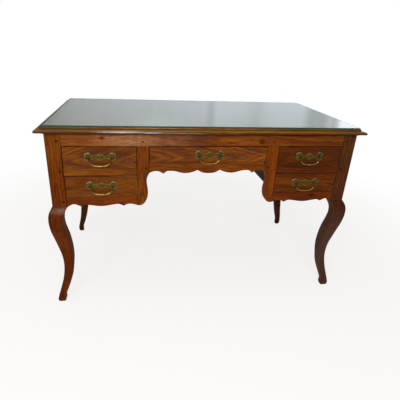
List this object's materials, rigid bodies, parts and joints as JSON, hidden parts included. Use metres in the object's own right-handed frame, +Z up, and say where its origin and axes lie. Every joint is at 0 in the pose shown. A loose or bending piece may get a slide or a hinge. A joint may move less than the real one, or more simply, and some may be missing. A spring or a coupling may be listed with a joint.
{
  "type": "writing desk",
  "caption": "Country writing desk in pegged oak, with cabriole legs, a scalloped kneehole, sliding drawers with brass drop handles and a glass sheet on its moulded top.",
  "frame": {"origin": "on the floor under the middle of the top", "axes": "+X to the right seen from the front, +Y to the back, +Z up"},
  "size_m": [1.27, 0.69, 0.78],
  "materials": {
    "oak": "waxed, stained warm brown",
    "oak_inside": "bare, planed",
    "peg": "dark end grain",
    "glass": "polished, green at the edge",
    "brass": "cast, aged"
  },
  "bodies": {
    "desk": {"desktop": "oak", "glass_top": "glass", "leg_front_left": "oak", "leg_front_right": "oak", "leg_back_left": "oak", "leg_back_right": "oak", "front_top_rail": "oak", "front_mid_rail_left": "oak", "front_mid_rail_right": "oak", "front_apron_left": "oak", "front_apron_right": "oak", "front_apron_centre": "oak", "front_muntin_left": "oak", "front_muntin_right": "oak", "side_panel_left": "oak", "side_panel_right": "oak", "kneehole_panel_left": "oak", "kneehole_panel_right": "oak", "back_muntin_left": "oak", "back_muntin_right": "oak", "back_panel_left": "oak", "back_panel_centre": "oak", "back_panel_right": "oak", "drawer_runners": "oak_inside", "joint_pegs": "peg"},
    "drawer_upper_left": {"drawer_upper_left_front": "oak", "drawer_upper_left_sides": "oak_inside", "drawer_upper_left_back": "oak_inside", "drawer_upper_left_bottom": "oak_inside", "handle_upper_left_plate": "brass", "handle_upper_left_posts": "brass"},
    "bail_upper_left": {"handle_upper_left_bail": "brass"},
    "drawer_lower_left": {"drawer_lower_left_front": "oak", "drawer_lower_left_sides": "oak_inside", "drawer_lower_left_back": "oak_inside", "drawer_lower_left_bottom": "oak_inside", "handle_lower_left_plate": "brass", "handle_lower_left_posts": "brass"},
    "bail_lower_left": {"handle_lower_left_bail": "brass"},
    "drawer_centre": {"drawer_centre_front": "oak", "drawer_centre_sides": "oak_inside", "drawer_centre_back": "oak_inside", "drawer_centre_bottom": "oak_inside", "handle_centre_plate": "brass", "handle_centre_posts": "brass"},
    "bail_centre": {"handle_centre_bail": "brass"},
    "drawer_upper_right": {"drawer_upper_right_front": "oak", "drawer_upper_right_sides": "oak_inside", "drawer_upper_right_back": "oak_inside", "drawer_upper_right_bottom": "oak_inside", "handle_upper_right_plate": "brass", "handle_upper_right_posts": "brass"},
    "bail_upper_right": {"handle_upper_right_bail": "brass"},
    "drawer_lower_right": {"drawer_lower_right_front": "oak", "drawer_lower_right_sides": "oak_inside", "drawer_lower_right_back": "oak_inside", "drawer_lower_right_bottom": "oak_inside", "handle_lower_right_plate": "brass", "handle_lower_right_posts": "brass"},
    "bail_lower_right": {"handle_lower_right_bail": "brass"}
  },
  "joints": [
    {"name": "slide_upper_left", "type": "slide", "parent": "desk", "child": "drawer_upper_left", "axis": [0, -1, 0], "range_m": [0, 0.4]},
    {"name": "swing_upper_left", "type": "hinge", "parent": "drawer_upper_left", "child": "bail_upper_left", "pos_m": [-0.41525, -0.3335, 0.66215], "axis": [-1, 0, 0], "range_deg": [-8, 175]},
    {"name": "slide_lower_left", "type": "slide", "parent": "desk", "child": "drawer_lower_left", "axis": [0, -1, 0], "range_m": [0, 0.4]},
    {"name": "swing_lower_left", "type": "hinge", "parent": "drawer_lower_left", "child": "bail_lower_left", "pos_m": [-0.41525, -0.3335, 0.5474], "axis": [-1, 0, 0], "range_deg": [-8, 175]},
    {"name": "slide_centre", "type": "slide", "parent": "desk", "child": "drawer_centre", "axis": [0, -1, 0], "range_m": [0, 0.4]},
    {"name": "swing_centre", "type": "hinge", "parent": "drawer_centre", "child": "bail_centre", "pos_m": [0, -0.3335, 0.66885], "axis": [-1, 0, 0], "range_deg": [-8, 175]},
    {"name": "slide_upper_right", "type": "slide", "parent": "desk", "child": "drawer_upper_right", "axis": [0, -1, 0], "range_m": [0, 0.4]},
    {"name": "swing_upper_right", "type": "hinge", "parent": "drawer_upper_right", "child": "bail_upper_right", "pos_m": [0.41525, -0.3335, 0.66215], "axis": [-1, 0, 0], "range_deg": [-8, 175]},
    {"name": "slide_lower_right", "type": "slide", "parent": "desk", "child": "drawer_lower_right", "axis": [0, -1, 0], "range_m": [0, 0.4]},
    {"name": "swing_lower_right", "type": "hinge", "parent": "drawer_lower_right", "child": "bail_lower_right", "pos_m": [0.41525, -0.3335, 0.5474], "axis": [-1, 0, 0], "range_deg": [-8, 175]}
  ]
}
